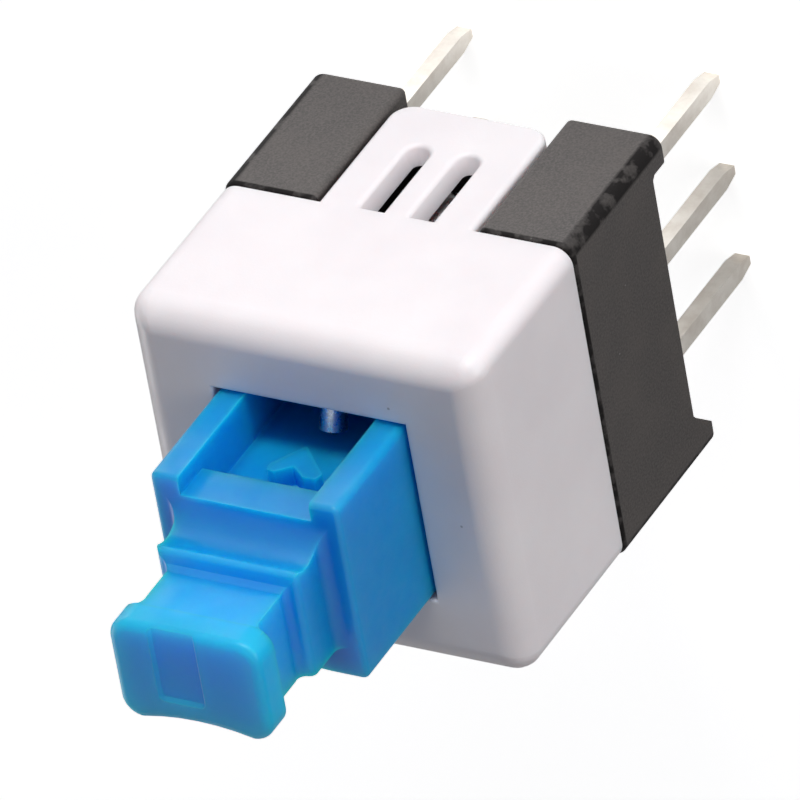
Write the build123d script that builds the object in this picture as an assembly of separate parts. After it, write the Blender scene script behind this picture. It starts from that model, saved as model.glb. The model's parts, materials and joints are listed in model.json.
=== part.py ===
from build123d import *
import os

# Latching push button switch, two poles with two throws, in millimetres.
# +Z is the way the plunger comes out. The board's face is Z = 0, where the feet stand, and the
# six terminals go down through it. The origin is the middle of the body's footprint.
# -Y is the side with the slotted flap, called the front here, and +Y is the rear.

# ---- Driving dimensions ----
BODY_X = 7.0                # across the two rows of terminals
BODY_Y = 6.8                # along a row of terminals
SEAM_Z = 3.5                # where the cover's skirt meets the base
COVER_TOP_Z = 7.25
TRAVEL = 2.0                # how far the plunger goes in, past the latching point

FOOT_HEIGHT = 0.55
FRONT_FOOT_LENGTH = 0.55
REAR_FOOT_LENGTH = 0.5
FRONT_FOOT_CHAMFER = 0.08
REAR_FOOT_SLOPE_Y = 0.5     # the recess slopes down to the rear foot over this length
REAR_FOOT_SLOPE_Z = 0.38
FLOOR_THICKNESS = 0.6
BASE_END_WALL = 0.65
BASE_EDGE_RADIUS = 0.26
NOTCH_WIDTH = 3.24          # the gap in the base's end walls that a flap of the cover fills
NOTCH_EDGE_RADIUS = 0.12
BASE_SEAM_RADIUS = 0.12      # on the base's edge along the line where the cover meets it
COVER_SEAM_RADIUS = 0.05

COVER_WALL_X = 0.75
COVER_WALL_Y = 0.75
COVER_CEILING = 0.7
COVER_CORNER_RADIUS = 0.36
COVER_RIM_RADIUS = 0.55
FLAP_WIDTH = 3.1
FLAP_THICKNESS = 0.38
FLAP_END_Z = 0.42
FLAP_CORNER_RADIUS = 0.45
SLOT_SPACING = 1.0
SLOT_WIDTH = 0.52            # at the flap's outer face
SLOT_END_Z = 1.5
SLOT_TAPER = 16             # degrees that a slot's walls lean inwards
SLOT_ROUNDING = 0.1         # on the slots' edges on the outer face

SLIDER_WIDTH = 3.74         # the square part of the plunger that runs in the cover
SLIDER_CLEARANCE = 0.05     # on each side of the slider in the cover's opening
SLIDER_END_Z = 9.7
SLIDER_WALL = 0.57
CAM_FLOOR_Y = -0.85
CAM_HEIGHT = 0.4
CAM_CHANNEL_LOW_Z = 5.5
CROSSBAR_THICKNESS = 0.8
CROSSBAR_DROP = 0.37        # how far the cross bar stands below the side walls' edges
STEP_WIDTH = 2.8
NECK_WIDTH = 2.28
HEAD_WIDTH = 3.0
HEAD_LOW_Z = 11.8
HEAD_END_Z = 12.4
HEAD_FRONT_Y = -0.74
HEAD_REAR_Y = 1.38
RECESS_X = 0.2              # middle of the shallow recess in the head's end
RECESS_DEPTH = 0.07

SPRING_OUTER = 1.7
SPRING_WIRE = 0.2
SPRING_COILS = 9
SPRING_Y = 0.45
SPRING_BORE = 1.9
SPRING_TOP_Z = 7.5
SPIGOT_DIAMETER = 1.1
SPIGOT_HEIGHT = 1.0

LATCH_WIRE = 0.5
LATCH_PIN_Z = 6.6
LATCH_SHOULDER_Z = 6.05     # where the long stretch bends over towards the cam
LATCH_PIVOT_Z = 1.5
LATCH_RUN_Y = -2.36         # the long stretch of the wire, under the cover's tongue
LATCH_PIN_TIP_Y = -0.97
LATCH_PIVOT_TIP_Y = -1.5
LATCH_BEND = 0.4

ROW_SPACING = 5.0
PIN_PITCH = 2.0
PIN_WIDTH = 0.36
PIN_THICKNESS = 0.3
PIN_LENGTH = 3.5
PIN_TAPER = 0.4             # length of the tapered tip
PIN_TIP_WIDTH = 0.16
CONTACT_SHEET = 0.15
CONTACT_Z = 5.7             # middle of the sliding contacts when the plunger is out
CONTACT_HEIGHT = 0.8
CONTACT_LENGTH = 2.5
DIMPLE_SPACING = 0.95

# ---- Derived dimensions ----
HALF_X = BODY_X / 2
HALF_Y = BODY_Y / 2
FLOOR_TOP_Z = FOOT_HEIGHT + FLOOR_THICKNESS
HALF_NOTCH = NOTCH_WIDTH / 2
HALF_SLIDER = SLIDER_WIDTH / 2
HALF_OPENING = HALF_SLIDER + SLIDER_CLEARANCE
HALF_CHANNEL = HALF_SLIDER - SLIDER_WALL
TERMINAL_X = ROW_SPACING / 2
TERMINAL_INNER_X = TERMINAL_X - PIN_THICKNESS / 2
TERMINAL_OUTER_X = TERMINAL_X + PIN_THICKNESS / 2
CAVITY_FRONT_Y = -(HALF_Y - BASE_END_WALL)
REAR_WALL_Y = PIN_PITCH + PIN_WIDTH / 2 + 0.05
CEILING_Z = COVER_TOP_Z - COVER_CEILING
CROSSBAR_Z = SLIDER_END_Z - CROSSBAR_THICKNESS
LATCH_POST_TOP_Z = LATCH_PIVOT_Z + 0.5
SLIDER_LOW_Z = LATCH_POST_TOP_Z + TRAVEL + 0.3
FLANGE_TOP_Z = CEILING_Z - 0.05
FLANGE_X = TERMINAL_INNER_X - 0.12
SPRING_LOW_Z = FLOOR_TOP_Z + SPRING_WIRE / 2 + 0.01
SPRING_RADIUS = (SPRING_OUTER - SPRING_WIRE) / 2
TOUCH_GAP = 0.02            # between a sliding contact's dimple and the terminal that it meets


def block(x_low, x_high, y_low, y_high, z_low, z_high):
    """A box between six planes."""
    middle = ((x_low + x_high) / 2, (y_low + y_high) / 2, (z_low + z_high) / 2)
    return Pos(*middle) * Box(x_high - x_low, y_high - y_low, z_high - z_low)


def edges_near(shape, x=None, y=None, z=None, reach=0.02):
    """The edges whose middle is within reach of the places that are given."""
    def close(edge):
        middle = edge.center()
        wanted = ((x, middle.X), (y, middle.Y), (z, middle.Z))
        return all(place is None or abs(found - place) < reach for place, found in wanted)
    return shape.edges().filter_by(close)


# ---- Base ----
def base_shell():
    """The black moulding's outer block, with its feet, its end notches and its hollow."""
    shell = block(-HALF_X, HALF_X, -HALF_Y, HALF_Y, 0, SEAM_Z)
    shell = fillet(shell.edges().filter_by(Axis.Z), BASE_EDGE_RADIUS)
    recess_front = -HALF_Y + FRONT_FOOT_LENGTH
    recess_rear = HALF_Y - REAR_FOOT_LENGTH
    slope_top = FOOT_HEIGHT - REAR_FOOT_SLOPE_Z
    outline = [(recess_front, -1), (recess_front, FOOT_HEIGHT - FRONT_FOOT_CHAMFER),
               (recess_front + FRONT_FOOT_CHAMFER, FOOT_HEIGHT),
               (recess_rear - REAR_FOOT_SLOPE_Y, FOOT_HEIGHT), (recess_rear, slope_top), (recess_rear, -1)]
    recess = make_face(Polyline(*outline, outline[0]))
    shell -= extrude(Plane.YZ * recess, amount=HALF_X + 1, both=True)
    foot_edges = edges_near(shell, y=recess_front, z=0) + edges_near(shell, y=-HALF_Y, z=0)
    shell = fillet(foot_edges, 0.12)
    for side in (-1, 1):
        outer, inner = side * (HALF_Y + 1), side * (HALF_Y - BASE_END_WALL)
        shell -= block(-HALF_NOTCH, HALF_NOTCH, min(outer, inner), max(outer, inner), -1, SEAM_Z + 1)
        for end in (-1, 1):
            corner = edges_near(shell, x=end * HALF_NOTCH, y=side * HALF_Y)
            shell = fillet(corner, NOTCH_EDGE_RADIUS)
    seam = [edge for edge in edges_near(shell, z=SEAM_Z)
            if abs(edge.center().X) > HALF_X - 0.1 or abs(edge.center().Y) > HALF_Y - 0.1]
    shell = fillet(seam, BASE_SEAM_RADIUS)
    hollow = block(-TERMINAL_OUTER_X, TERMINAL_OUTER_X, CAVITY_FRONT_Y, REAR_WALL_Y,
                   FLOOR_TOP_Z, SEAM_Z + 1)
    return shell - hollow


def terminal_slots():
    """The six slots in the floor that the terminals are pressed through."""
    room = 0.01
    slots = []
    for side in (-1, 1):
        for step in (-1, 0, 1):
            slot = Box(PIN_THICKNESS + 2 * room, PIN_WIDTH + 2 * room, 3 * FLOOR_THICKNESS)
            slots.append(Pos(side * TERMINAL_X, step * PIN_PITCH, FLOOR_TOP_Z) * slot)
    return slots


def latch_post():
    """The post on the floor that the latch wire's lower leg turns in."""
    half_width = 0.6
    post_rear_y = LATCH_PIVOT_TIP_Y + 0.1
    post_front_y = LATCH_RUN_Y + LATCH_WIRE / 2 + 0.1
    post = block(-half_width, half_width, post_front_y, post_rear_y,
                 FLOOR_TOP_Z - 0.1, LATCH_POST_TOP_Z)
    hole = Cylinder(LATCH_WIRE / 2 + 0.03, 4, rotation=(90, 0, 0))
    return post - Pos(0, post_rear_y - 0.05 - 2, LATCH_PIVOT_Z) * hole


def snap_nub():
    """The wedge on the base's rear wall that holds the cover's rear flap by its window."""
    wall_y = HALF_Y - BASE_END_WALL
    nub_y = HALF_Y - 0.12
    nub = block(-0.7, 0.7, wall_y - 0.1, nub_y, 1.95, 2.45)
    return chamfer(edges_near(nub, y=nub_y, z=2.45), 0.3)


def base_housing():
    base = base_shell()
    for slot in terminal_slots():
        base -= slot
    spigot_top = FLOOR_TOP_Z + SPIGOT_HEIGHT
    spigot = Pos(0, SPRING_Y, (spigot_top + FLOOR_TOP_Z - 0.1) / 2) * Cylinder(
        SPIGOT_DIAMETER / 2, SPIGOT_HEIGHT + 0.1)
    return base + fillet(edges_near(spigot, z=spigot_top), 0.15) + latch_post() + snap_nub()


# ---- Cover ----
def cover_cap():
    """The white cap, hollow from below, with the plunger's square opening."""
    cap = block(-HALF_X, HALF_X, -HALF_Y, HALF_Y, SEAM_Z, COVER_TOP_Z)
    cap = fillet(cap.faces().sort_by(Axis.Z)[-1].edges(), COVER_RIM_RADIUS)
    corners = [edge for edge in cap.edges()
               if abs(edge.center().X) > HALF_X - COVER_RIM_RADIUS
               and abs(edge.center().Y) > HALF_Y - COVER_RIM_RADIUS]
    cap = fillet(corners, COVER_CORNER_RADIUS)
    cap = fillet(cap.faces().sort_by(Axis.Z)[0].edges(), COVER_SEAM_RADIUS)
    inner_x = HALF_X - COVER_WALL_X
    inner_y = HALF_Y - COVER_WALL_Y
    cap -= block(-inner_x, inner_x, -inner_y, inner_y, SEAM_Z - 1, CEILING_Z)
    cap -= block(-HALF_OPENING, HALF_OPENING, -HALF_OPENING, HALF_OPENING, SEAM_Z, COVER_TOP_Z + 1)
    rim = [edge for edge in edges_near(cap, z=COVER_TOP_Z)
           if max(abs(edge.center().X), abs(edge.center().Y)) < HALF_OPENING + 0.01]
    return fillet(rim, 0.06)


def flap(front):
    """A flap that reaches down the base between its end walls, from inside the cap's skirt."""
    outer = -HALF_Y if front else HALF_Y
    inner = outer + (FLAP_THICKNESS if front else -FLAP_THICKNESS)
    tongue = block(-FLAP_WIDTH / 2, FLAP_WIDTH / 2, min(outer, inner), max(outer, inner),
                   FLAP_END_Z, SEAM_Z + 0.3)
    corners = tongue.edges().filter_by(Axis.Y).sort_by(Axis.Z)[0:2]
    tongue = fillet(corners, FLAP_CORNER_RADIUS)
    outline = [edge for edge in tongue.faces().sort_by(Axis.Y)[0 if front else -1].edges()
               if edge.center().Z < SEAM_Z + 0.2]
    return fillet(outline, 0.12)


def flap_slot(x):
    """One slot through the front flap, with a round lower end and walls that lean inwards."""
    length = SEAM_Z - SLOT_END_Z + SLOT_WIDTH
    middle_z = SLOT_END_Z + length / 2
    outline = Plane.XZ.offset(HALF_Y) * Pos(x, middle_z) * SlotOverall(length, SLOT_WIDTH, rotation=90)
    slot = extrude(outline, amount=-FLAP_THICKNESS - 0.1, taper=SLOT_TAPER)
    return slot & block(x - 1, x + 1, -HALF_Y - 1, 0, SLOT_END_Z - 1, SEAM_Z)


def soften_slots(shape):
    """Rounds the slots' edges on the flap's outer face."""
    edges = [edge for edge in shape.edges()
             if abs(edge.center().Y + HALF_Y) < 0.01 and abs(edge.center().X) < 0.85
             and SLOT_END_Z - 0.05 < edge.center().Z < SEAM_Z - 0.2]
    return fillet(edges, SLOT_ROUNDING)


def cover():
    shell = cover_cap() + flap(front=True) + flap(front=False)
    for side in (-1, 1):
        shell -= flap_slot(side * SLOT_SPACING / 2)
    shell = soften_slots(shell)
    window = block(-0.75, 0.75, HALF_Y - FLAP_THICKNESS - 0.5, HALF_Y + 0.5, 1.9, 2.9)
    return shell - window


# ---- Plunger ----
def side_outline():
    """The stem from the side: the hollow above the rib, the rib, and the neck, as (Y, Z)."""
    start_y = -HALF_SLIDER + CROSSBAR_DROP + 0.1
    hollow = ThreePointArc((start_y, SLIDER_END_Z), (-1.0, 9.95), (-0.97, 10.46))
    rib = ThreePointArc((-0.97, 10.46), (-0.98, 10.57), (-0.89, 10.62))
    rest = Polyline((-0.89, 10.62), (-0.74, 10.66), (-0.66, 10.78), (-0.66, HEAD_LOW_Z + 0.1),
                    (1.2, HEAD_LOW_Z + 0.1), (1.2, SLIDER_END_Z - 0.2), (start_y, SLIDER_END_Z - 0.2),
                    (start_y, SLIDER_END_Z))
    return Plane.YZ * make_face(hollow + rib + rest)


def plan_outline():
    """Half of the stem from above: the step, the neck and its flare under the head, as (X, Z)."""
    step, neck = STEP_WIDTH / 2, NECK_WIDTH / 2
    flare_low = HEAD_LOW_Z - 0.3
    flare_end = neck + 0.2
    root = ThreePointArc((step + 0.22, SLIDER_END_Z), (step + 0.06, SLIDER_END_Z + 0.07),
                         (step, SLIDER_END_Z + 0.25))
    side = Line((step, SLIDER_END_Z + 0.25), (step, 10.5))
    shoulder = ThreePointArc((step, 10.5), (step - 0.04, 10.6), (step - 0.13, 10.64))
    inside = ThreePointArc((step - 0.13, 10.64), (neck + 0.03, 10.7), (neck, 10.84))
    shank = Line((neck, 10.84), (neck, flare_low))
    flare = ThreePointArc((neck, flare_low), (neck + 0.05, HEAD_LOW_Z - 0.09), (flare_end, HEAD_LOW_Z))
    rest = Polyline((flare_end, HEAD_LOW_Z), (flare_end, HEAD_LOW_Z + 0.1), (0, HEAD_LOW_Z + 0.1),
                    (0, SLIDER_END_Z - 0.2), (step + 0.22, SLIDER_END_Z - 0.2), (step + 0.22, SLIDER_END_Z))
    return Plane.XZ * make_face(root + side + shoulder + inside + shank + flare + rest)


def stem():
    """The step and the neck between the slider and the head."""
    side_solid = extrude(side_outline(), amount=2, both=True)
    half = extrude(plan_outline(), amount=3, both=True)
    return side_solid & (half + mirror(half, Plane.YZ))


def shallow_hollow(half_width, depth, y, z_low, z_high):
    """A cutter that leaves a long shallow hollow in a face that looks to the rear."""
    radius = (half_width ** 2 + depth ** 2) / (2 * depth)
    return Pos(0, y + radius - depth, (z_low + z_high) / 2) * Cylinder(radius, z_high - z_low)


def head():
    """The wide end that a button cap clips over."""
    middle_y = (HEAD_FRONT_Y + HEAD_REAR_Y) / 2
    outline = Pos(0, middle_y, HEAD_LOW_Z) * RectangleRounded(HEAD_WIDTH, HEAD_REAR_Y - HEAD_FRONT_Y, 0.42)
    solid = extrude(outline, amount=HEAD_END_Z - HEAD_LOW_Z)
    solid -= shallow_hollow(1.1, 0.13, HEAD_REAR_Y, HEAD_LOW_Z - 0.1, HEAD_END_Z + 0.1)
    solid = fillet(solid.faces().sort_by(Axis.Z)[-1].edges(), 0.18)
    recess = block(RECESS_X - 0.47, RECESS_X + 0.47, HEAD_FRONT_Y - 0.5, 0.85,
                   HEAD_END_Z - RECESS_DEPTH, HEAD_END_Z + 1)
    recess = fillet(recess.edges().filter_by(Axis.Z), 0.12)
    return solid - chamfer(recess.faces().sort_by(Axis.Z)[0].edges(), RECESS_DEPTH * 0.9)


def heart_island():
    """The heart-shaped island that the latch wire's pin runs round. Its notch holds the latch."""
    points = [(0.0, 7.5), (0.4, 8.14), (0.38, 8.31), (0.22, 8.33), (-0.05, 8.1),
              (-0.35, 8.33), (-0.6, 8.33), (-0.66, 8.16)]
    face = make_face(Polyline(*points, points[0]))
    island = extrude(Plane.XZ.offset(-CAM_FLOOR_Y - 0.05) * face, amount=CAM_HEIGHT + 0.05)
    return fillet(island.edges().filter_by(Axis.Y), 0.04)


def contact_pocket(side):
    """The room in the slider's flange for one sliding contact and its two folded ends."""
    inner = side * (FLANGE_X - 0.22)
    outer = side * (FLANGE_X + 0.5)
    room = 0.03
    half_length = CONTACT_LENGTH / 2 + room
    half_height = CONTACT_HEIGHT / 2 + room
    pocket = block(min(inner, outer), max(inner, outer), -half_length, half_length,
                   CONTACT_Z - half_height, CONTACT_Z + half_height)
    for end in (-1, 1):
        slit_outer = end * half_length
        slit_inner = end * (half_length - CONTACT_SHEET - 2 * room)
        deep = side * (FLANGE_X - 0.57)
        pocket += block(min(deep, outer), max(deep, outer), min(slit_inner, slit_outer),
                        max(slit_inner, slit_outer), CONTACT_Z - half_height, CONTACT_Z + half_height)
    return pocket


def slider():
    """The square part with its flange, its cam channel, its cross bar and its spring bore."""
    body = block(-HALF_SLIDER, HALF_SLIDER, -HALF_SLIDER, HALF_SLIDER, SLIDER_LOW_Z, SLIDER_END_Z)
    body = fillet(body.edges().filter_by(Axis.Z), 0.14)
    body = fillet(body.faces().sort_by(Axis.Z)[-1].edges(), 0.1)
    flange_low_z = CONTACT_Z - CONTACT_HEIGHT / 2 - 0.25
    body += block(-FLANGE_X, FLANGE_X, -1.6, 1.6, flange_low_z, FLANGE_TOP_Z)
    front = -HALF_SLIDER - 1
    body -= block(-HALF_CHANNEL, HALF_CHANNEL, front, CAM_FLOOR_Y, CAM_CHANNEL_LOW_Z, CROSSBAR_Z)
    body -= block(-HALF_CHANNEL, HALF_CHANNEL, front, -HALF_SLIDER + CROSSBAR_DROP,
                  CROSSBAR_Z - 0.1, SLIDER_END_Z + 1)
    bore_height = SPRING_TOP_Z + 0.11 - SLIDER_LOW_Z
    body -= Pos(0, SPRING_Y, SLIDER_LOW_Z + bore_height / 2) * Cylinder(SPRING_BORE / 2, bore_height)
    body -= shallow_hollow(1.35, 0.11, HALF_SLIDER, CEILING_Z, SLIDER_END_Z + 1)
    for side in (-1, 1):
        body -= contact_pocket(side)
    return body


def plunger():
    return slider() + heart_island() + stem() + head()


# ---- Spring, latch wire and contacts ----
def return_spring():
    """The coil spring between the base's floor and the end of the plunger's bore."""
    height = SPRING_TOP_Z - SPRING_LOW_Z
    path = Pos(0, SPRING_Y, SPRING_LOW_Z) * Helix(height / SPRING_COILS, height, SPRING_RADIUS)
    section = Plane(origin=path @ 0, z_dir=path % 0) * Circle(SPRING_WIRE / 2)
    return sweep(section, path=path, is_frenet=True)


def latch_wire():
    """The bent wire whose upper leg follows the cam and whose lower leg is its pivot."""
    path = FilletPolyline((0, LATCH_PIN_TIP_Y, LATCH_PIN_Z), (0, LATCH_RUN_Y, LATCH_SHOULDER_Z),
                          (0, LATCH_RUN_Y, LATCH_PIVOT_Z), (0, LATCH_PIVOT_TIP_Y, LATCH_PIVOT_Z),
                          radius=LATCH_BEND)
    section = Plane(origin=path @ 0, z_dir=path % 0) * Circle(LATCH_WIRE / 2)
    return sweep(section, path=path)


def moving_contact(side):
    """A stamped bridge in the slider's flange, with three dimples and two folded ends."""
    outer = FLANGE_X - 0.05
    inner = outer - CONTACT_SHEET
    low_z, high_z = CONTACT_Z - CONTACT_HEIGHT / 2, CONTACT_Z + CONTACT_HEIGHT / 2
    half_length = CONTACT_LENGTH / 2
    bridge = block(inner, outer, -half_length, half_length, low_z, high_z)
    for end in (-1, 1):
        tip = end * half_length
        root = end * (half_length - CONTACT_SHEET)
        bridge += block(FLANGE_X - 0.55, outer, min(tip, root), max(tip, root), low_z, high_z)
    dimple_height = TERMINAL_INNER_X - TOUCH_GAP - outer
    dimple_radius = 0.3
    for step in (-1, 0, 1):
        ball = Pos(outer + dimple_height - dimple_radius, step * DIMPLE_SPACING, CONTACT_Z) * Sphere(
            dimple_radius)
        bridge += ball & block(inner, outer + 1, -HALF_Y, HALF_Y, low_z, high_z)
    return bridge if side > 0 else mirror(bridge, Plane.YZ)


def pin_outline(y):
    """The part of a terminal from its tapered tip up to the floor's top, as (Y, Z)."""
    half, tip = PIN_WIDTH / 2, PIN_TIP_WIDTH / 2
    points = [(y - tip, -PIN_LENGTH), (y + tip, -PIN_LENGTH), (y + half, -PIN_LENGTH + PIN_TAPER),
              (y + half, FLOOR_TOP_Z + 0.1), (y - half, FLOOR_TOP_Z + 0.1),
              (y - half, -PIN_LENGTH + PIN_TAPER)]
    return make_face(Polyline(*points, points[0]))


def flat_rectangle(y_low, y_high, z_low, z_high):
    """A rectangle in the plane of a terminal's sheet."""
    return Pos((y_low + y_high) / 2, (z_low + z_high) / 2) * Rectangle(y_high - y_low, z_high - z_low)


def terminal(side, step):
    """One flat stamped terminal. The middle one is the common rail, the others have one arm each."""
    y = step * PIN_PITCH
    half = PIN_WIDTH / 2
    shoulder = 0.14
    sheet = pin_outline(y) + flat_rectangle(y - half - shoulder, y + half + shoulder * (step < 1),
                                            FLOOR_TOP_Z, FLOOR_TOP_Z + 0.4)
    arm_reach = 0.65
    if step == 0:
        sheet += flat_rectangle(y - half, y + half, FLOOR_TOP_Z, 6.3)
    elif step > 0:
        sheet += flat_rectangle(y - half, y + half, FLOOR_TOP_Z, 6.2)
        sheet += flat_rectangle(arm_reach, y + half, 4.9, 6.2)
    else:
        sheet += flat_rectangle(y - half, y + half, FLOOR_TOP_Z, 4.35)
        sheet += flat_rectangle(y - half, -arm_reach, 2.7, 4.35)
    plane = Plane.YZ.offset(side * TERMINAL_X)
    blade = extrude(plane * sheet, amount=PIN_THICKNESS / 2, both=True)
    return fillet(blade.edges().filter_by(lambda edge: edge.center().Z < -PIN_LENGTH + 0.02), 0.04)


PARTS = {
    "base_housing": base_housing(),
    "cover": cover(),
    "plunger": plunger(),
    "return_spring": return_spring(),
    "latch_wire": latch_wire(),
    "moving_contact_left": moving_contact(-1),
    "moving_contact_right": moving_contact(1),
}
for side, side_name in ((-1, "left"), (1, "right")):
    for step, step_name in ((-1, "front"), (0, "common"), (1, "rear")):
        PARTS[f"terminal_{side_name}_{step_name}"] = terminal(side, step)

os.makedirs("parts", exist_ok=True)
for name, shape in PARTS.items():
    export_step(shape, f"parts/{name}.step")
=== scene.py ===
"""Looks of the latching push button switch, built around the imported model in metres.

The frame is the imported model's: +Z is the way the plunger comes out, the board's face is z = 0,
and -Y is the side of the cover's slotted flap, called the front here.
"""

import json
import logging
import math
from dataclasses import dataclass
from enum import Enum

import bmesh
import bpy
from mathutils import Matrix, Vector

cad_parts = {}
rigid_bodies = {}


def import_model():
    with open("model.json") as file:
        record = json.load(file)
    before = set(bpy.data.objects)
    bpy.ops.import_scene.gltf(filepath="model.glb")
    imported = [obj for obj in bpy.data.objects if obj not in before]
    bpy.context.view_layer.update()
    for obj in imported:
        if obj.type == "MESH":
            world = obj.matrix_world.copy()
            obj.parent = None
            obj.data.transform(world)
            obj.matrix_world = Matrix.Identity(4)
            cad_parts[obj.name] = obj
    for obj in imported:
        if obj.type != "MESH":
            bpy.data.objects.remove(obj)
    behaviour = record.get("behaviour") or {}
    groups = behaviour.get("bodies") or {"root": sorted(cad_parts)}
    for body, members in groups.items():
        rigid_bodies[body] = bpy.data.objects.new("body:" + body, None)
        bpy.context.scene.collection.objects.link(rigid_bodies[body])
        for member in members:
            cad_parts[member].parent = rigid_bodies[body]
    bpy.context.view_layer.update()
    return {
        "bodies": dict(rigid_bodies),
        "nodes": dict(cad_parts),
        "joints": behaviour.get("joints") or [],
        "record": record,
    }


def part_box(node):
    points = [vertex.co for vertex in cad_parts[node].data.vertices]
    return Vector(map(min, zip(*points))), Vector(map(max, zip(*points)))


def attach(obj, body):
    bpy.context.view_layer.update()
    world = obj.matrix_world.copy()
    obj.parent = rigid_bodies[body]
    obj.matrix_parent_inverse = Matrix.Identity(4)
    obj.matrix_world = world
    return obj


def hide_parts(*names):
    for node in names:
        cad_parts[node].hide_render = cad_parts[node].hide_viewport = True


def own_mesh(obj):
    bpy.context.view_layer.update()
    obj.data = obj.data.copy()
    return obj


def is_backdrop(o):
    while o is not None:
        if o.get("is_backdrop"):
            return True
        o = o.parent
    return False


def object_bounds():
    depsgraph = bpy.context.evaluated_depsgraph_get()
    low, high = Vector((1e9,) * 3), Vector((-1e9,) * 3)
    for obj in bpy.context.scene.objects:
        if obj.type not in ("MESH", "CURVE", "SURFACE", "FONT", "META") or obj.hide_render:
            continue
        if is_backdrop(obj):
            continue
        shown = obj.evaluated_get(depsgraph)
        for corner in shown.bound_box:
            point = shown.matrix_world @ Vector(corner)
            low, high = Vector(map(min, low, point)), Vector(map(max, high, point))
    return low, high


MM = 0.001
LOG = logging.getLogger("switch")


class Body(Enum):
    """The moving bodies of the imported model."""

    HOUSING = "housing"
    PLUNGER = "plunger"
    LATCH = "latch"


class Slot(Enum):
    """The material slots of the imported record."""

    BASE = "base_plastic"
    COVER = "cover_plastic"
    PLUNGER = "plunger_plastic"
    SPRING = "spring_steel"
    CONTACT = "contact_metal"
    TERMINAL = "terminal_plating"


# ---------------------------------------------------------------- node helpers


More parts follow.
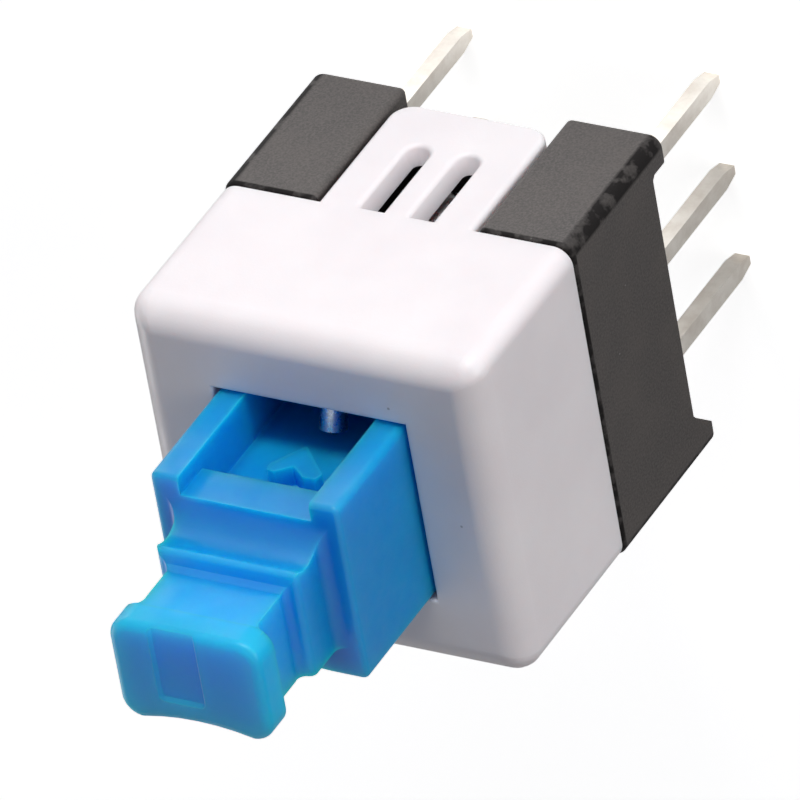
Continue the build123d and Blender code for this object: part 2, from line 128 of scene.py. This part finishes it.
class Shader:
    """A small writer for a material's node tree, on Object coordinates."""

    def __init__(self, name: str) -> None:
        """Starts a material with a Principled surface.

        Args:
            name: the material's name.
        """
        self.material = bpy.data.materials.new(name)
        self.material.use_nodes = True
        self.tree = self.material.node_tree
        self.surface = self.tree.nodes["Principled BSDF"]
        self.coords = self.tree.nodes.new("ShaderNodeTexCoord").outputs["Object"]

    def set(self, **values: object) -> None:
        """Sets the surface's own sockets.

        Args:
            values: socket names, with _ for a space, and their values.
        """
        for name, value in values.items():
            self.surface.inputs[name.replace("_", " ")].default_value = value

    def link(self, output: bpy.types.NodeSocket, socket: str) -> None:
        """Links an output to one of the surface's sockets.

        Args:
            output: the output to read.
            socket: the name of the surface's socket.
        """
        self.tree.links.new(output, self.surface.inputs[socket])

    def stretched(self, scale: tuple[float, float, float]) -> bpy.types.NodeSocket:
        """Object coordinates with each axis scaled.

        Args:
            scale: the factor on each axis.

        Returns:
            The scaled coordinates.
        """
        node = self.tree.nodes.new("ShaderNodeMapping")
        node.inputs["Scale"].default_value = scale
        self.tree.links.new(self.coords, node.inputs["Vector"])
        return node.outputs["Vector"]

    def noise(self, per_mm: float, detail: float = 3.0, roughness: float = 0.55,
              coords: bpy.types.NodeSocket | None = None) -> bpy.types.NodeSocket:
        """Fractal noise.

        Args:
            per_mm: features in each millimetre.
            detail: octaves of the noise.
            roughness: how strong the fine octaves are.
            coords: coordinates to read, or None for Object coordinates.

        Returns:
            The noise's value, about 0 to 1.
        """
        node = self.tree.nodes.new("ShaderNodeTexNoise")
        node.inputs["Scale"].default_value = per_mm / MM
        node.inputs["Detail"].default_value = detail
        node.inputs["Roughness"].default_value = roughness
        self.tree.links.new(coords or self.coords, node.inputs["Vector"])
        return node.outputs["Fac"]

    def specks(self, per_mm: float, size: float) -> bpy.types.NodeSocket:
        """Scattered round specks.

        Args:
            per_mm: cells in each millimetre.
            size: radius of a speck as a share of its cell.

        Returns:
            1 on a speck and 0 elsewhere.
        """
        node = self.tree.nodes.new("ShaderNodeTexVoronoi")
        node.inputs["Scale"].default_value = per_mm / MM
        node.inputs["Randomness"].default_value = 1.0
        self.tree.links.new(self.coords, node.inputs["Vector"])
        return self.spread(node.outputs["Distance"], size, size * 0.6, 0.0, 1.0)

    def spread(self, value: bpy.types.NodeSocket, low: float, high: float,
               to_low: float, to_high: float) -> bpy.types.NodeSocket:
        """Maps a range of a value onto another, held at its ends.

        Args:
            value: what is mapped.
            low: the value that gives to_low.
            high: the value that gives to_high.
            to_low: the result at low.
            to_high: the result at high.

        Returns:
            The mapped value.
        """
        node = self.tree.nodes.new("ShaderNodeMapRange")
        for name, number in (("From Min", low), ("From Max", high), ("To Min", to_low), ("To Max", to_high)):
            node.inputs[name].default_value = number
        self.tree.links.new(value, node.inputs["Value"])
        return node.outputs["Result"]

    def mixed(self, factor: bpy.types.NodeSocket, first: "Colour | bpy.types.NodeSocket",
              second: "Colour | bpy.types.NodeSocket") -> bpy.types.NodeSocket:
        """Mixes two colours.

        Args:
            factor: 0 gives the first colour and 1 the second.
            first: a colour or an output.
            second: a colour or an output.

        Returns:
            The mixed colour.
        """
        node = self.tree.nodes.new("ShaderNodeMix")
        node.data_type = "RGBA"
        self.tree.links.new(factor, node.inputs["Factor"])
        for socket, value in ((node.inputs["A"], first), (node.inputs["B"], second)):
            colour_socket = [s for s in node.inputs if s.name == socket.name and s.type == "RGBA"][0]
            if isinstance(value, tuple):
                colour_socket.default_value = (*value, 1.0)
            else:
                self.tree.links.new(value, colour_socket)
        return [s for s in node.outputs if s.type == "RGBA"][0]

    def maths(self, operation: str, first: bpy.types.NodeSocket,
              second: "float | bpy.types.NodeSocket") -> bpy.types.NodeSocket:
        """One step of arithmetic.

        Args:
            operation: the Math node's operation.
            first: the first operand.
            second: the second operand, a number or an output.

        Returns:
            The result.
        """
        node = self.tree.nodes.new("ShaderNodeMath")
        node.operation = operation
        self.tree.links.new(first, node.inputs[0])
        if isinstance(second, (int, float)):
            node.inputs[1].default_value = second
        else:
            self.tree.links.new(second, node.inputs[1])
        return node.outputs["Value"]

    def edges(self, radius_mm: float) -> bpy.types.NodeSocket:
        """How much a point lies on a convex edge.

        Args:
            radius_mm: how far from an edge the effect reaches.

        Returns:
            About 0 on a flat and up to 1 on an edge.
        """
        bevel = self.tree.nodes.new("ShaderNodeBevel")
        bevel.samples = 6
        bevel.inputs["Radius"].default_value = radius_mm * MM
        geometry = self.tree.nodes.new("ShaderNodeNewGeometry")
        dot = self.tree.nodes.new("ShaderNodeVectorMath")
        dot.operation = "DOT_PRODUCT"
        self.tree.links.new(bevel.outputs["Normal"], dot.inputs[0])
        self.tree.links.new(geometry.outputs["Normal"], dot.inputs[1])
        return self.spread(dot.outputs["Value"], 0.995, 0.8, 0.0, 1.0)

    def bump(self, height: bpy.types.NodeSocket, depth_mm: float,
             below: bpy.types.NodeSocket | None = None) -> bpy.types.NodeSocket:
        """A bumped normal.

        Args:
            height: the relief, 0 to 1.
            depth_mm: how deep the relief is.
            below: a normal that this one is laid on, or None.

        Returns:
            The normal.
        """
        node = self.tree.nodes.new("ShaderNodeBump")
        node.inputs["Strength"].default_value = 1.0
        node.inputs["Distance"].default_value = depth_mm * MM
        self.tree.links.new(height, node.inputs["Height"])
        if below is not None:
            self.tree.links.new(below, node.inputs["Normal"])
        return node.outputs["Normal"]


Colour = tuple[float, float, float]


# ---------------------------------------------------------------- finishes


@dataclass(frozen=True)
class GrainedBlack:
    """Matte black moulding with a fine spark-eroded grain, with painted shade that darkens the upright
    corners and the band along the seam.
    """

    deep: Colour = (0.033, 0.029, 0.028)
    ridge: Colour = (0.057, 0.049, 0.046)
    worn: Colour = (0.078, 0.066, 0.059)
    # Painted shade: a darker black on the upright corners and along the seam's band
    painted_edge_shade: Colour = (0.008, 0.007, 0.007)
    dust: Colour = (0.4, 0.39, 0.38)
    grain_specular: float = 0.38
    edge_specular: float = 0.06
    grain_per_mm: float = 22.0
    grain_depth_mm: float = 0.0035
    half_x: float = 3.5 * MM
    half_y: float = 3.4 * MM
    seam_z: float = 3.5 * MM
    band: float = 0.27 * MM

    def material(self) -> bpy.types.Material:
        """Builds the material.

        Returns:
            The material.
        """
        shader = Shader("grained_black")
        grain = shader.noise(self.grain_per_mm, 4.0, 0.62)
        cloud = shader.noise(1.1, 3.0, 0.5)
        colour = shader.mixed(shader.spread(grain, 0.38, 0.66, 0.0, 1.0), self.deep, self.ridge)
        tint = shader.maths("MULTIPLY", shader.spread(cloud, 0.4, 0.7, 0.0, 1.0), 0.25)
        colour = shader.mixed(tint, colour, self.worn)
        dust = shader.maths("MULTIPLY", shader.specks(1.6, 0.035), 0.4)
        colour = shader.mixed(dust, colour, self.dust)
        # Painted shade: the corners and the seam's band are darkened and made less glossy, standing in for
        # the shade that falls there
        edge = self.edge_and_seam_shade_mask(shader)
        colour = shader.mixed(edge, colour, self.painted_edge_shade)
        shader.link(colour, "Base Color")
        shader.link(shader.spread(grain, 0.3, 0.7, 0.66, 0.52), "Roughness")
        specular = shader.spread(edge, 0.0, 1.0, self.grain_specular, self.edge_specular)
        shader.link(specular, "Specular IOR Level")
        flow = shader.bump(shader.noise(0.7, 2.0, 0.4), 0.01)
        shader.link(shader.bump(grain, self.grain_depth_mm, flow), "Normal")
        return shader.material

    def edge_and_seam_shade_mask(self, shader: Shader) -> bpy.types.NodeSocket:
        """Finds the upright corners and the seam's edge, where shade is painted as a darker, less glossy
        band.

        Args:
            shader: the shader to write in.

        Returns:
            1 on those edges and 0 on the grained faces.
        """
        axes = shader.tree.nodes.new("ShaderNodeSeparateXYZ")
        shader.tree.links.new(shader.coords, axes.inputs["Vector"])
        reach = []
        for axis, half in (("X", self.half_x), ("Y", self.half_y)):
            distance = shader.maths("ABSOLUTE", axes.outputs[axis], 0.0)
            reach.append(shader.spread(distance, half - self.band, half - self.band * 0.75, 0.0, 1.0))
        corner = shader.maths("MULTIPLY", reach[0], reach[1])
        seam_low = self.seam_z - self.band * 0.5
        seam = shader.spread(axes.outputs["Z"], seam_low, seam_low + self.band * 0.12, 0.0, 1.0)
        ragged = shader.spread(shader.noise(2.6, 3.0, 0.6), 0.42, 0.52, 0.55, 1.0)
        return shader.maths("MULTIPLY", shader.maths("MAXIMUM", corner, seam), ragged)


@dataclass(frozen=True)
class SatinWhite:
    """Satin white moulding, faintly pink, a little translucent, with a soft flow in its gloss."""

    body: Colour = (0.84, 0.795, 0.815)
    shade: Colour = (0.80, 0.75, 0.775)
    speck: Colour = (0.30, 0.25, 0.23)
    subsurface: float = 0.35
    reach_mm: float = 0.45

    def material(self) -> bpy.types.Material:
        """Builds the material.

        Returns:
            The material.
        """
        shader = Shader("satin_white")
        cloud = shader.noise(0.45, 3.0, 0.5)
        colour = shader.mixed(shader.spread(cloud, 0.35, 0.68, 0.0, 1.0), self.body, self.shade)
        colour = shader.mixed(shader.maths("MULTIPLY", shader.specks(0.9, 0.03), 0.6), colour, self.speck)
        shader.link(colour, "Base Color")
        fine = shader.noise(22.0, 2.0, 0.5)
        shader.link(shader.spread(shader.noise(1.6, 3.0, 0.5), 0.3, 0.7, 0.36, 0.48), "Roughness")
        shader.set(Subsurface_Weight=self.subsurface, Subsurface_Scale=self.reach_mm * MM,
                   Subsurface_Radius=(1.0, 0.75, 0.7), Specular_IOR_Level=0.45)
        sink = shader.bump(shader.noise(0.35, 1.0, 0.4), 0.03)
        shader.link(shader.bump(fine, 0.0016, sink), "Normal")
        return shader.material


@dataclass(frozen=True)
class BluePlastic:
    """Saturated blue moulding, a little translucent, with a painted glow that lightens it towards the head
    and painted highlights on its convex edges.
    """

    body: Colour = (0.001, 0.262, 0.640)
    # Painted glow: the lighter blue that the colour reaches at the head's end
    painted_head_glow: Colour = (0.001, 0.440, 0.970)
    # A lighter blue, used both for random mottling and as a painted highlight on convex edges
    edge: Colour = (0.010, 0.420, 0.800)
    subsurface: float = 1.0
    reach_mm: float = 2.0
    # The heights over which the painted glow rises
    head_glow_from_mm: float = 10.2
    head_glow_to_mm: float = 11.9

    def material(self) -> bpy.types.Material:
        """Builds the material.

        Returns:
            The material.
        """
        shader = Shader("blue_plastic")
        cloud = shader.noise(0.8, 3.0, 0.55)
        height = shader.tree.nodes.new("ShaderNodeSeparateXYZ")
        shader.tree.links.new(shader.coords, height.inputs["Vector"])
        # Painted glow: the colour lightens from the body towards the head, standing in for light the head
        # gives off
        head_glow = shader.spread(height.outputs["Z"], self.head_glow_from_mm * MM, self.head_glow_to_mm * MM, 0.0, 1.0)
        colour = shader.mixed(head_glow, self.body, self.painted_head_glow)
        colour = shader.mixed(shader.spread(cloud, 0.35, 0.7, 0.0, 0.12), colour, self.edge)
        # Painted highlight: convex edges are lightened towards the lighter blue
        colour = shader.mixed(shader.maths("MULTIPLY", shader.edges(0.14), 0.8), colour, self.edge)
        shader.link(colour, "Base Color")
        wave = shader.noise(3.0, 3.0, 0.5)
        shader.link(shader.spread(wave, 0.3, 0.7, 0.30, 0.44), "Roughness")
        shader.set(Subsurface_Weight=self.subsurface, Subsurface_Scale=self.reach_mm * MM,
                   Subsurface_Radius=(0.1, 0.7, 1.0), Specular_IOR_Level=0.27)
        ripple = shader.bump(shader.noise(1.3, 2.0, 0.5), 0.02)
        shader.link(shader.bump(shader.noise(18.0, 2.0, 0.5), 0.002, ripple), "Normal")
        return shader.material


@dataclass(frozen=True)
class TinPlate:
    """Warm matt tin plating on stamped strip, with drawn lines along the blades."""

    bright: Colour = (0.83, 0.79, 0.73)
    dull: Colour = (0.70, 0.645, 0.58)

    def material(self) -> bpy.types.Material:
        """Builds the material.

        Returns:
            The material.
        """
        shader = Shader("tin_plate")
        lines = shader.noise(14.0, 3.0, 0.6, shader.stretched((1.0, 1.0, 0.06)))
        cloud = shader.noise(2.4, 4.0, 0.6)
        colour = shader.mixed(shader.spread(cloud, 0.35, 0.68, 0.0, 1.0), self.bright, self.dull)
        colour = shader.mixed(shader.maths("MULTIPLY", shader.specks(3.0, 0.12), 0.3), colour, self.dull)
        shader.link(colour, "Base Color")
        shader.link(shader.spread(lines, 0.3, 0.7, 0.3, 0.46), "Roughness")
        shader.set(Metallic=1.0)
        shader.link(shader.bump(lines, 0.002, shader.bump(cloud, 0.003)), "Normal")
        return shader.material


@dataclass(frozen=True)
class DrawnWire:
    """Bright drawn spring wire, or bright stamped strip in another tint."""

    name: str
    tint: Colour
    dark: Colour

    def material(self) -> bpy.types.Material:
        """Builds the material.

        Returns:
            The material.
        """
        shader = Shader(self.name)
        scratch = shader.noise(9.0, 4.0, 0.65)
        colour = shader.mixed(shader.spread(scratch, 0.35, 0.7, 0.0, 1.0), self.tint, self.dark)
        shader.link(colour, "Base Color")
        shader.link(shader.spread(scratch, 0.3, 0.7, 0.2, 0.38), "Roughness")
        shader.set(Metallic=1.0)
        shader.link(shader.bump(scratch, 0.003), "Normal")
        return shader.material


@dataclass(frozen=True)
class Finishes:
    """One material for each slot of the record."""

    materials: dict[Slot, bpy.types.Material]

    @classmethod
    def build(cls) -> "Finishes":
        """Builds every finish once.

        Returns:
            The finishes.
        """
        return cls({
            Slot.BASE: GrainedBlack().material(),
            Slot.COVER: SatinWhite().material(),
            Slot.PLUNGER: BluePlastic().material(),
            Slot.SPRING: DrawnWire("spring_wire", (0.62, 0.62, 0.63), (0.40, 0.40, 0.41)).material(),
            Slot.CONTACT: DrawnWire("contact_strip", (0.86, 0.70, 0.42), (0.62, 0.48, 0.27)).material(),
            Slot.TERMINAL: TinPlate().material(),
        })

    def dress(self, piece: bpy.types.Object, slot: Slot) -> None:
        """Gives a piece the finish of a slot.

        Args:
            piece: the piece to dress.
            slot: the record's material slot.
        """
        piece.data.materials.clear()
        piece.data.materials.append(self.materials[slot])


# ---------------------------------------------------------------- mesh helpers


def new_piece(name: str, mesh: bmesh.types.BMesh, body: Body, slot: Slot, finishes: Finishes,
              smooth: bool = True) -> bpy.types.Object:
    """Turns a bmesh into a dressed piece that rides on a body.

    Args:
        name: the piece's name.
        mesh: the shape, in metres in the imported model's frame. It is freed.
        body: the body that carries the piece.
        slot: the material slot that the piece takes its finish from.
        finishes: the finishes to dress it with.
        smooth: whether its faces are shaded smooth.

    Returns:
        The piece.
    """
    bmesh.ops.remove_doubles(mesh, verts=mesh.verts, dist=1e-7)
    bmesh.ops.recalc_face_normals(mesh, faces=mesh.faces)
    for face in mesh.faces:
        face.smooth = smooth
    data = bpy.data.meshes.new(name)
    mesh.to_mesh(data)
    mesh.free()
    piece = bpy.data.objects.new(name, data)
    bpy.context.scene.collection.objects.link(piece)
    finishes.dress(piece, slot)
    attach(piece, body.value)
    LOG.info("%s: %d faces on %s", name, len(data.polygons), body.value)
    return piece


# ---------------------------------------------------------------- sub-assemblies


@dataclass
class CadPieces:
    """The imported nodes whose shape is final, which only get their finish."""

    frame: dict
    finishes: Finishes

    def dress(self) -> None:
        """Gives each node the finish of its slot in the record."""
        for row in self.frame["record"]["subparts"]:
            slot = Slot(row["material_slot"])
            self.finishes.dress(self.frame["nodes"][row["node"]], slot)
            LOG.info("%s: %s", row["node"], slot.value)


@dataclass
class ReturnSpring:
    """The coil spring in the plunger's bore, with closed ends, wound as one wire."""

    finishes: Finishes
    node: str = "return_spring"
    wire: float = 0.2 * MM
    active_turns: float = 7.5
    closed_turns: float = 1.0
    closed_pitch: float = 1.02
    steps_per_turn: int = 28
    wire_sides: int = 12
    travel: float = 2.0 * MM

    def build(self) -> bpy.types.Object:
        """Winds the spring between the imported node's ends.

        Returns:
            The spring.
        """
        low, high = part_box(self.node)
        centre = (low + high) / 2
        radius = (high.x - low.x - self.wire) / 2
        floor = low.z + self.wire / 2
        closed_rise = self.closed_turns * self.wire * self.closed_pitch
        mesh = bmesh.new()
        start = Matrix.Translation((centre.x + radius, centre.y, floor))
        start = start @ Matrix.Rotation(math.pi / 2, 4, "X")
        ring = bmesh.ops.create_circle(mesh, segments=self.wire_sides, radius=self.wire / 2, matrix=start,
                                       cap_ends=False)["verts"]
        axis = Vector((0.0, 0.0, 1.0))
        section = list({edge for vert in ring for edge in vert.link_edges})
        rise = high.z - low.z - self.wire - 2 * closed_rise
        first = section
        for turns, climb in ((self.closed_turns, closed_rise), (self.active_turns, rise),
                             (self.closed_turns, closed_rise)):
            steps = round(self.steps_per_turn * turns)
            spun = bmesh.ops.spin(mesh, geom=section, cent=(centre.x, centre.y, 0.0), axis=axis,
                                  dvec=axis * (climb / steps), angle=2 * math.pi * turns, steps=steps,
                                  use_merge=False, use_duplicate=False)
            section = [item for item in spun["geom_last"] if isinstance(item, bmesh.types.BMEdge)]
        bmesh.ops.contextual_create(mesh, geom=first)
        bmesh.ops.contextual_create(mesh, geom=section)
        piece = new_piece("return_spring_coil", mesh, Body.HOUSING, Slot.SPRING, self.finishes)
        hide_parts(self.node)
        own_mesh(piece)
        return piece


@dataclass(frozen=True)
class GateMark:
    """The low round stub that a moulding's gate leaves where it was twisted off."""

    name: str
    body: Body
    slot: Slot
    centre: tuple[float, float, float]
    turn: Matrix
    radius: float = 0.22 * MM
    rise: float = 0.05 * MM
    rounding: float = 0.02 * MM

    def build(self, finishes: Finishes) -> bpy.types.Object:
        """Sinks a softened disc halfway into the moulding's face.

        Args:
            finishes: the finishes to dress it with.

        Returns:
            The stub.
        """
        mesh = bmesh.new()
        place = Matrix.Translation(self.centre) @ self.turn
        bmesh.ops.create_cone(mesh, cap_ends=True, segments=32, radius1=self.radius,
                              radius2=self.radius * 0.9, depth=2 * self.rise, matrix=place)
        bmesh.ops.bevel(mesh, geom=list(mesh.edges), affect="EDGES", offset=self.rounding, segments=2,
                        profile=0.5, material=-1)
        return new_piece(self.name, mesh, self.body, self.slot, finishes)


def gate_marks() -> list[GateMark]:
    """The gates of the cover, on its rear face, and of the base, on its right side.

    Returns:
        The marks to build.
    """
    return [
        GateMark("cover_gate_mark", Body.HOUSING, Slot.COVER, (-2.1 * MM, 3.4 * MM, 5.3 * MM),
                 Matrix.Rotation(-math.pi / 2, 4, "X")),
        GateMark("base_gate_mark", Body.HOUSING, Slot.BASE, (3.5 * MM, 0.6 * MM, 2.0 * MM),
                 Matrix.Rotation(math.pi / 2, 4, "Y")),
    ]


# ---------------------------------------------------------------- stage


def seen_rays(tree: bpy.types.NodeTree) -> bpy.types.NodeSocket:
    """Tells what is looked at from what only lights other things.

    Args:
        tree: the node tree to write in.

    Returns:
        1 for camera, glossy and transmission rays, and 0 for the rest.
    """
    path = tree.nodes.new("ShaderNodeLightPath")
    result = path.outputs["Is Camera Ray"]
    for kind in ("Is Glossy Ray", "Is Transmission Ray"):
        larger = tree.nodes.new("ShaderNodeMath")
        larger.operation = "MAXIMUM"
        tree.links.new(result, larger.inputs[0])
        tree.links.new(path.outputs[kind], larger.inputs[1])
        result = larger.outputs["Value"]
    return result


@dataclass(frozen=True)
class Studio:
    """A white floor and backdrop, soft lamps and the camera."""

    camera_azimuth: float = -37.81
    camera_elevation: float = 42.23
    camera_roll: float = 141.35
    camera_distance: float = 0.308
    lens: float = 790.0
    sensor: float = 36.0
    aim: tuple[float, float, float] = (0.0, 0.0, 4.4 * MM)
    floor_drop: float = 0.01 * MM
    floor_size: float = 0.4
    floor_lift: float = 0.70
    front_glow: float = 3.0
    rear_glow: float = 0.15
    glow_front_y: float = -12 * MM
    glow_rear_y: float = 0.0
    ambient: float = 0.15
    ambient_colour: tuple[float, float, float, float] = (0.95, 0.96, 1.0, 1.0)
    near_clip: float = 0.01

    def build(self) -> None:
        """Builds the floor, the world, the lamps and the camera."""
        self.build_floor()
        self.build_world()
        self.build_lamps()
        self.build_camera()

    def build_floor(self) -> None:
        """Lays a pale floor under the terminals' tips."""
        mesh = bmesh.new()
        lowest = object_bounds()[0][2] - self.floor_drop
        bmesh.ops.create_grid(mesh, x_segments=1, y_segments=1, size=self.floor_size,
                              matrix=Matrix.Translation((0, 0, lowest)))
        data = bpy.data.meshes.new("floor")
        mesh.to_mesh(data)
        mesh.free()
        floor = bpy.data.objects.new("floor", data)
        bpy.context.scene.collection.objects.link(floor)
        data.materials.append(self.floor_material())
        floor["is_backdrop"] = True

    def floor_material(self) -> bpy.types.Material:
        """A white floor that keeps the object's shadow, and that glossy rays see brighter in front, as a
        painted reflection on the switch's front faces.

        Returns:
            The floor's material.
        """
        shader = Shader("white_floor")
        grain = shader.noise(0.2, 3.0, 0.5)
        shader.link(shader.mixed(grain, (0.93, 0.93, 0.93), (0.96, 0.96, 0.96)), "Base Color")
        shader.set(Roughness=0.9, Specular_IOR_Level=0.1)
        lift = shader.tree.nodes.new("ShaderNodeEmission")
        lift.inputs["Color"].default_value = (1.0, 1.0, 1.0, 1.0)
        path = shader.tree.nodes.new("ShaderNodeLightPath").outputs
        along = shader.tree.nodes.new("ShaderNodeSeparateXYZ")
        shader.tree.links.new(shader.coords, along.inputs["Vector"])
        # Painted reflection: glossy rays see the floor at front_glow in front and rear_glow behind, which
        # paints a sheen on the front faces and darkens the sides
        glow = shader.spread(along.outputs["Y"], self.glow_front_y, self.glow_rear_y,
                             self.front_glow, self.rear_glow)
        mirrored = shader.maths("MULTIPLY", path["Is Glossy Ray"], glow)
        looked_at = shader.maths("MAXIMUM", path["Is Camera Ray"], path["Is Transmission Ray"])
        strength = shader.maths("MAXIMUM", shader.maths("MULTIPLY", looked_at, self.floor_lift), mirrored)
        shader.tree.links.new(strength, lift.inputs["Strength"])
        both = shader.tree.nodes.new("ShaderNodeAddShader")
        shader.tree.links.new(shader.surface.outputs["BSDF"], both.inputs[0])
        shader.tree.links.new(lift.outputs["Emission"], both.inputs[1])
        output = shader.tree.nodes["Material Output"]
        shader.tree.links.new(both.outputs["Shader"], output.inputs["Surface"])
        return shader.material

    def build_world(self) -> None:
        """White for camera, glossy and transmission rays, and a soft grey light for the rest."""
        world = bpy.data.worlds.new("studio")
        bpy.context.scene.world = world
        world.use_nodes = True
        tree = world.node_tree
        tree.nodes.clear()
        light = tree.nodes.new("ShaderNodeBackground")
        light.inputs["Color"].default_value = self.ambient_colour
        light.inputs["Strength"].default_value = self.ambient
        seen = tree.nodes.new("ShaderNodeBackground")
        seen.inputs["Color"].default_value = (1.0, 1.0, 1.0, 1.0)
        seen.inputs["Strength"].default_value = 1.0
        mix = tree.nodes.new("ShaderNodeMixShader")
        out = tree.nodes.new("ShaderNodeOutputWorld")
        tree.links.new(seen_rays(tree), mix.inputs["Fac"])
        tree.links.new(light.outputs["Background"], mix.inputs[1])
        tree.links.new(seen.outputs["Background"], mix.inputs[2])
        tree.links.new(mix.outputs["Shader"], out.inputs["Surface"])

    def lamp(self, name: str, place: Vector, width: float, height: float, watts: float) -> None:
        """Adds one soft rectangular lamp that faces the switch.

        Args:
            name: the lamp's name.
            place: where it hangs.
            width: its width, which lies level.
            height: its height.
            watts: its power.
        """
        data = bpy.data.lights.new(name, "AREA")
        data.shape = "RECTANGLE"
        data.size = width
        data.size_y = height
        data.energy = watts
        lamp = bpy.data.objects.new(name, data)
        bpy.context.scene.collection.objects.link(lamp)
        back = (place - Vector(self.aim)).normalized()
        lamp.matrix_world = Matrix.Translation(place) @ back.to_track_quat("Z", "Y").to_matrix().to_4x4()

    def build_lamps(self) -> None:
        """Hangs a key over the front, and fills at the side and behind."""
        self.lamp("key", Vector((-0.04, -0.30, 0.045)), 0.22, 0.07, 0.74)
        self.lamp("side_fill", Vector((-0.25, -0.09, 0.05)), 0.16, 0.08, 0.21)
        self.lamp("back_fill", Vector((0.28, 0.12, 0.05)), 0.2, 0.08, 0.2)

    def build_camera(self) -> None:
        """Sets the camera at the viewing angle, rolled so that the flap's side is up."""
        azimuth, elevation = math.radians(self.camera_azimuth), math.radians(self.camera_elevation)
        back = Vector((math.sin(azimuth) * math.cos(elevation), -math.cos(azimuth) * math.cos(elevation),
                       math.sin(elevation)))
        level_up = Vector((0, 0, 1)) - back * back.z
        level_up.normalize()
        level_right = level_up.cross(back)
        roll = math.radians(self.camera_roll)
        up = level_up * math.cos(roll) + level_right * math.sin(roll)
        right = up.cross(back)
        turn = Matrix((right, up, back)).transposed().to_4x4()
        data = bpy.data.cameras.new("camera")
        data.lens = self.lens
        data.sensor_width = self.sensor
        data.clip_start = self.near_clip
        camera = bpy.data.objects.new("camera", data)
        bpy.context.scene.collection.objects.link(camera)
        camera.matrix_world = Matrix.Translation(Vector(self.aim) + back * self.camera_distance) @ turn
        bpy.context.scene.camera = camera


def main() -> None:
    """Builds the pieces, then the stage."""
    logging.basicConfig(level=logging.INFO, format="%(name)s %(message)s")
    bpy.context.scene.view_settings.view_transform = "Standard"
    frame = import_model()
    finishes = Finishes.build()
    CadPieces(frame, finishes).dress()
    ReturnSpring(finishes).build()
    for mark in gate_marks():
        mark.build(finishes)
    Studio().build()


if __name__ == "__main__":
    main()
